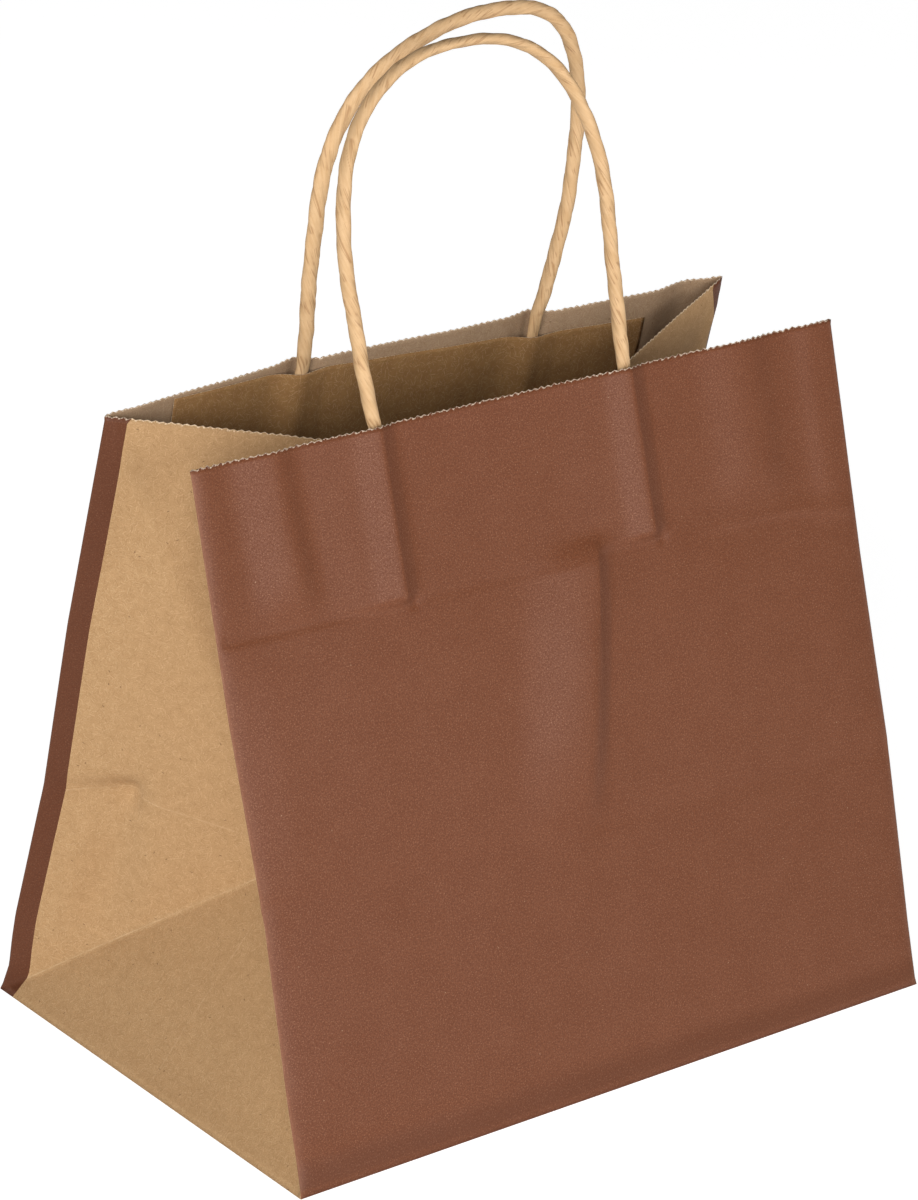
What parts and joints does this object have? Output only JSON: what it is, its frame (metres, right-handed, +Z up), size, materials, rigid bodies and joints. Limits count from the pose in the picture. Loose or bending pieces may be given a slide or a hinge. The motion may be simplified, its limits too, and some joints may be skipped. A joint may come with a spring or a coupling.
{
  "type": "brown paper carrier bag",
  "caption": "Square-bottomed paper carrier bag standing open: printed brown panels, plain kraft gussets folded inwards, a toothed mouth and twisted paper loop handles under glued patches.",
  "frame": {"origin": "middle of the base on the ground, under the bag's footprint", "axes": "+Z up, X along the bag's width, the front panel faces -Y and the back panel +Y"},
  "size_m": [0.24, 0.161, 0.3127],
  "materials": {
    "printed_paper": "matte brown print on kraft paper",
    "kraft_paper": "uncoated natural kraft",
    "paper_cord": "twisted natural kraft cord"
  },
  "bodies": {
    "root": {"bag_body": "printed_paper", "front_handle": "paper_cord", "back_handle": "paper_cord", "front_handle_patch": "kraft_paper", "back_handle_patch": "kraft_paper"}
  },
  "joints": []
}
